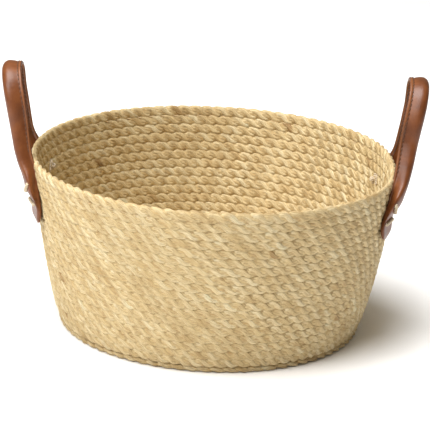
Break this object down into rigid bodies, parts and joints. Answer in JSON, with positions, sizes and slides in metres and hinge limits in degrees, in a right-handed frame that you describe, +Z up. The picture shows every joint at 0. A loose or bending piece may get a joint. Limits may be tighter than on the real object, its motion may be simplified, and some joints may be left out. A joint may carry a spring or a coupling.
{
  "type": "woven basket with leather handles",
  "caption": "Round flared storage basket of coiled leaf rope, with two stand-up leather loop handles laced to the wall.",
  "frame": {"origin": "middle of the base on the surface the basket stands on", "axes": "+Z up through the mouth, X through the two handles with the left handle at -X, -Y is the front"},
  "size_m": [0.4065, 0.36, 0.2515],
  "materials": {
    "straw": "twisted dry leaf, satin, streaked",
    "sewing_thread": "matte twisted thread",
    "leather": "smooth tan leather, soft sheen",
    "lacing_cord": "matte cotton cord",
    "rope": "matte rope",
    "brown_thread": "waxed thread"
  },
  "bodies": {
    "basket": {"base_coil": "straw", "wall_coil": "straw", "rim_coil": "straw", "base_seam_thread": "sewing_thread", "rim_seam_thread": "sewing_thread", "left_front_tab": "leather", "left_rear_tab": "leather", "right_front_tab": "leather", "right_rear_tab": "leather", "left_front_lacing": "lacing_cord", "left_rear_lacing": "lacing_cord", "right_front_lacing": "lacing_cord", "right_rear_lacing": "lacing_cord"},
    "left_handle": {"left_grip_cover": "leather", "left_rope_core": "rope", "left_grip_seam_thread": "brown_thread"},
    "right_handle": {"right_grip_cover": "leather", "right_rope_core": "rope", "right_grip_seam_thread": "brown_thread"}
  },
  "joints": [
    {"name": "left_fold", "type": "hinge", "parent": "basket", "child": "left_handle", "pos_m": [-0.17642, 0, 0.1445], "axis": [0, -1, 0], "range_deg": [-1, 90], "stiffness_Nm_per_rad": 0.35},
    {"name": "right_fold", "type": "hinge", "parent": "basket", "child": "right_handle", "pos_m": [0.17642, 0, 0.1445], "axis": [0, 1, 0], "range_deg": [-1, 90], "stiffness_Nm_per_rad": 0.35}
  ]
}
